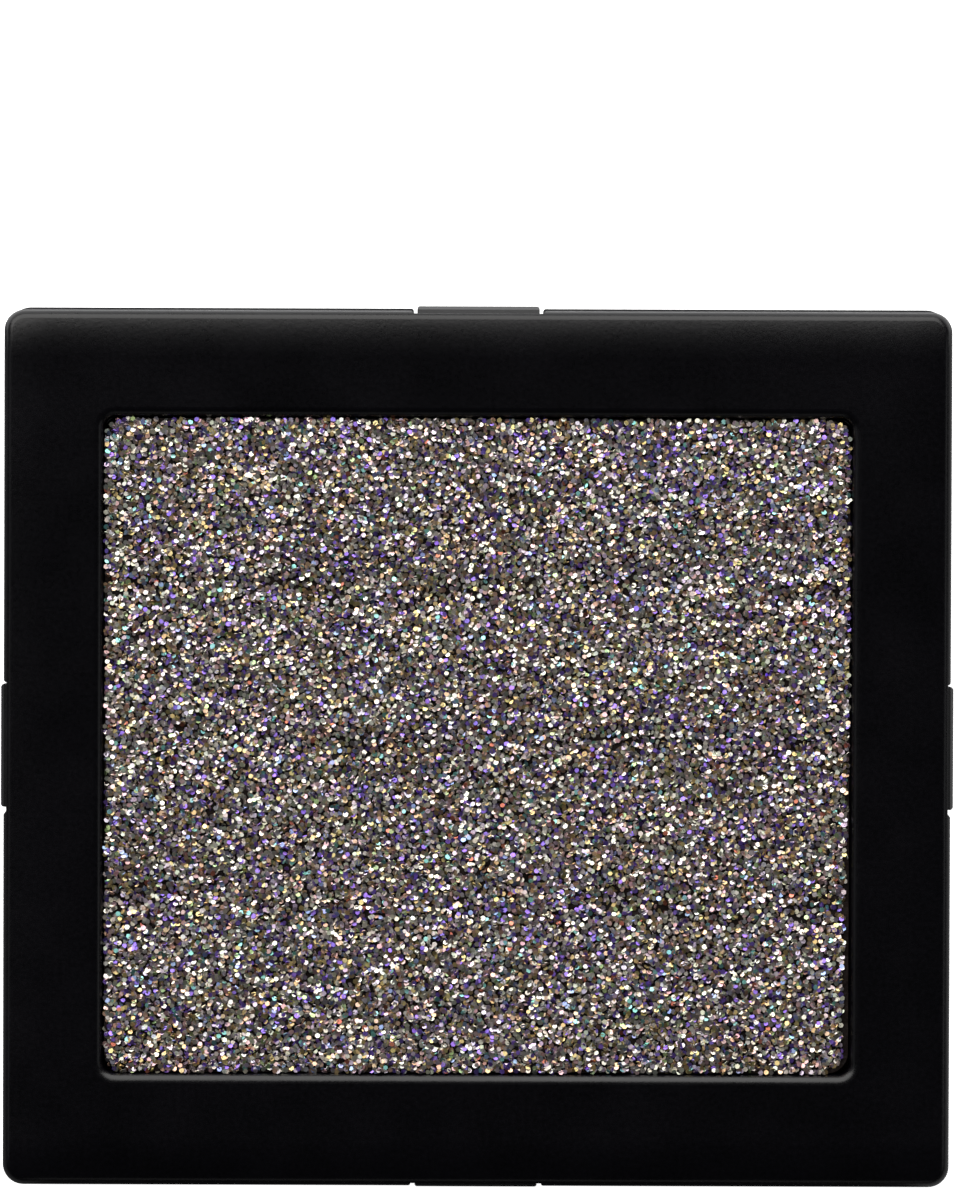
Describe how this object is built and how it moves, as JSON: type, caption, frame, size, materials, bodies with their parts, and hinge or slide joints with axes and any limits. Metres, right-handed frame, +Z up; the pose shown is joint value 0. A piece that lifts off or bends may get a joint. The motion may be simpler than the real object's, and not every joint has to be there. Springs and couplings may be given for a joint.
{
  "type": "click-in eyeshadow cartridge",
  "caption": "Flat rectangular click-in eyeshadow cartridge: black plastic frame round a rounded window of pressed multi-colour glitter, with a sprung snap tongue on each side.",
  "frame": {"origin": "centre of the flat underside", "axes": "+Z up through the window, +X to the right along the longer side, +Y to the rear"},
  "size_m": [0.0346, 0.032, 0.0064],
  "materials": {
    "bezel_plastic": "satin",
    "tray_plastic": "satin",
    "tongue_plastic": "satin",
    "pan_metal": "drawn tinplate, satin",
    "glitter": "pressed multi-colour glitter",
    "foam": "closed-cell foam tape",
    "label_paper": "matt, blank"
  },
  "bodies": {
    "base": {"base_tray": "tray_plastic", "adhesive_pad": "foam", "back_label": "label_paper"},
    "bezel": {"bezel": "bezel_plastic"},
    "filled_pan": {"pan": "pan_metal", "glitter_cake": "glitter"},
    "front_tongue": {"front_snap_tongue": "tongue_plastic"},
    "rear_tongue": {"rear_snap_tongue": "tongue_plastic"},
    "left_tongue": {"left_snap_tongue": "tongue_plastic"},
    "right_tongue": {"right_snap_tongue": "tongue_plastic"}
  },
  "joints": [
    {"name": "bezel_lift", "type": "slide", "parent": "base", "child": "bezel", "axis": [0, 0, 1], "range_m": [0, 0.014]},
    {"name": "pan_lift", "type": "slide", "parent": "base", "child": "filled_pan", "axis": [0, 0, 1], "range_m": [0, 0.007]},
    {"name": "front_tongue_flex", "type": "hinge", "parent": "base", "child": "front_tongue", "pos_m": [0, -0.01545, 0.0012], "axis": [-1, 0, 0], "range_deg": [0, 4], "stiffness_Nm_per_rad": 0.15},
    {"name": "rear_tongue_flex", "type": "hinge", "parent": "base", "child": "rear_tongue", "pos_m": [0, 0.01545, 0.0012], "axis": [1, 0, 0], "range_deg": [0, 4], "stiffness_Nm_per_rad": 0.15},
    {"name": "left_tongue_flex", "type": "hinge", "parent": "base", "child": "left_tongue", "pos_m": [-0.01675, 0, 0.0012], "axis": [0, 1, 0], "range_deg": [0, 4], "stiffness_Nm_per_rad": 0.15},
    {"name": "right_tongue_flex", "type": "hinge", "parent": "base", "child": "right_tongue", "pos_m": [0.01675, 0, 0.0012], "axis": [0, -1, 0], "range_deg": [0, 4], "stiffness_Nm_per_rad": 0.15}
  ],
  "couplings": [
    {"joint": "pan_lift", "follows": "bezel_lift", "ratio": 0.5}
  ]
}
